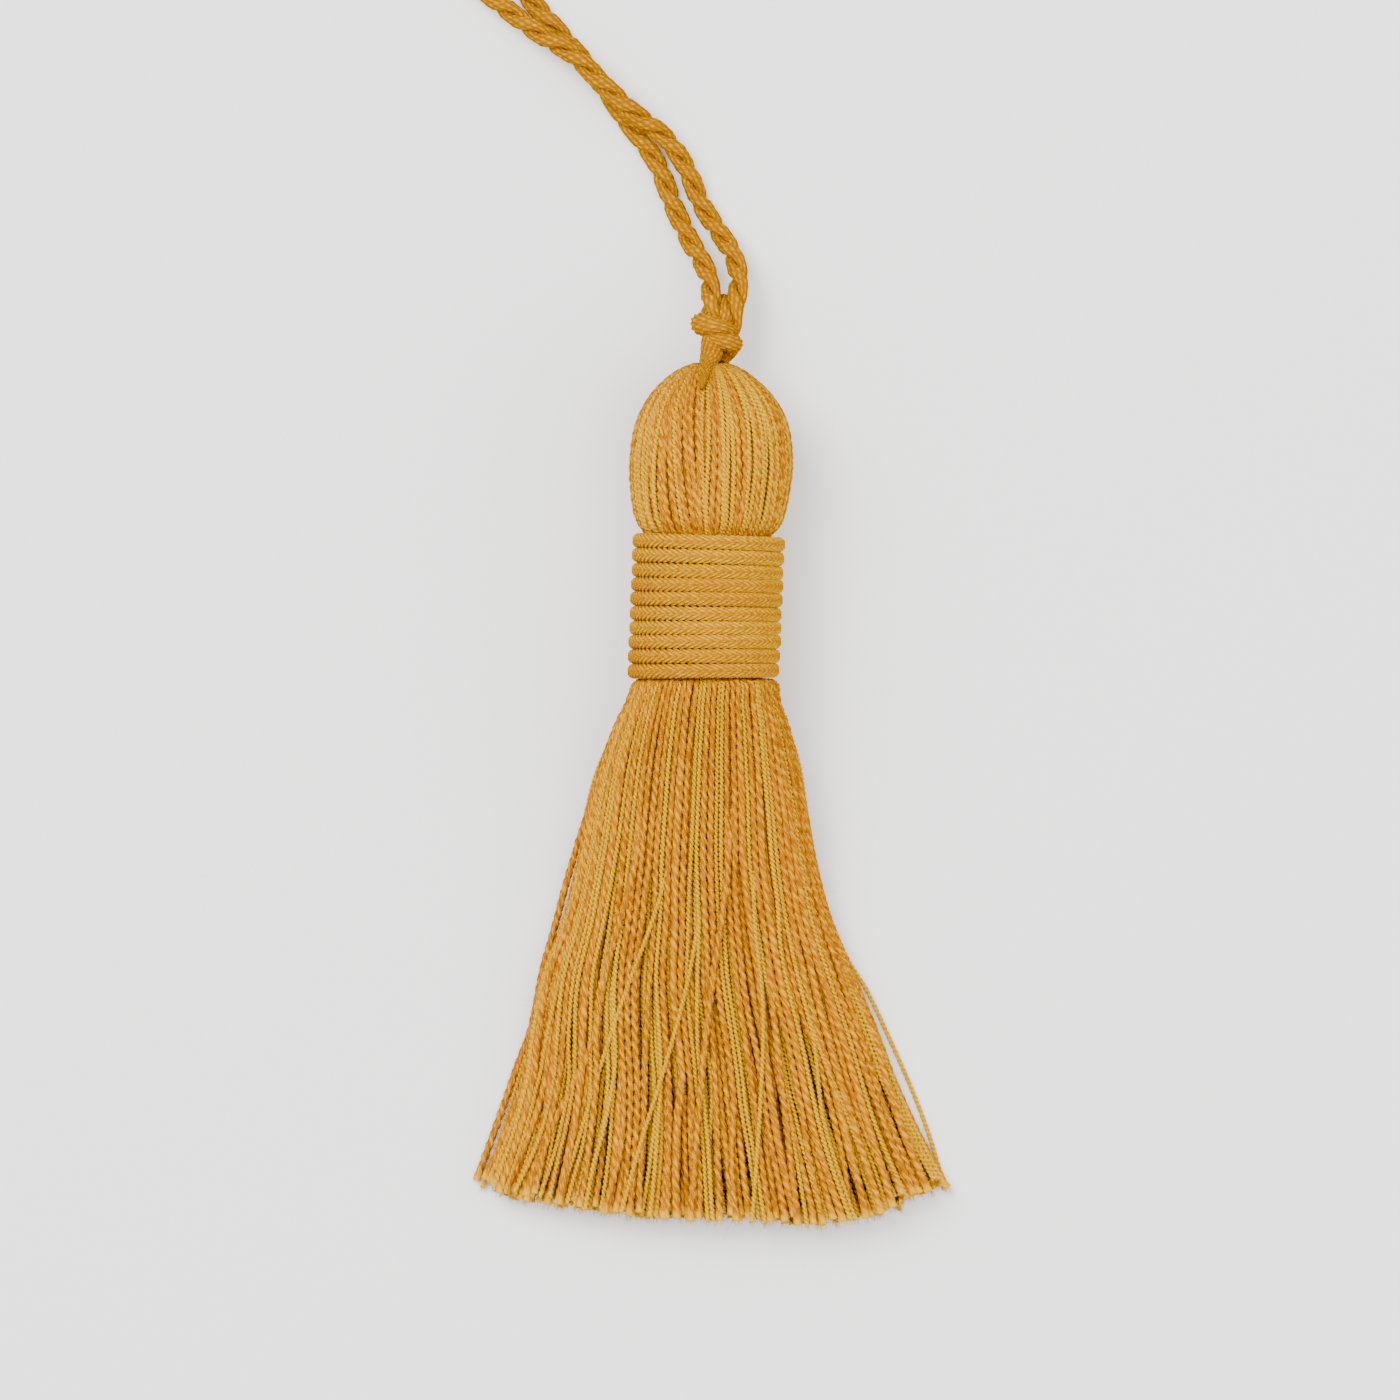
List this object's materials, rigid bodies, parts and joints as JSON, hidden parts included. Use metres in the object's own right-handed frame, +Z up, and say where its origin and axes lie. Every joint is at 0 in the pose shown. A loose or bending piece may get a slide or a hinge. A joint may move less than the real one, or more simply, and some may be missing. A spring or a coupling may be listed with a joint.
{
  "type": "silk tassel",
  "caption": "Yarn tassel laid flat: round head, neck bound with braided cord, fanned skirt of cut strands, knot and hanging cord loop.",
  "frame": {"origin": "middle of the tassel without its hanging cord, on the surface that it lies on", "axes": "+X across the skirt, +Y from the cut ends towards the head and loop, +Z up from the surface"},
  "size_m": [0.0675, 0.1476, 0.0164],
  "materials": {
    "yarn": "soft twisted silky yarn, amber with shinier gold strands among them",
    "binding_cord": "braided matte cord, tan gold",
    "hanging_cord": "two-strand twisted matte cord, tan gold"
  },
  "bodies": {
    "root": {"head_and_skirt": "yarn", "binding": "binding_cord", "knot": "hanging_cord", "cord_loop": "hanging_cord"}
  },
  "joints": []
}
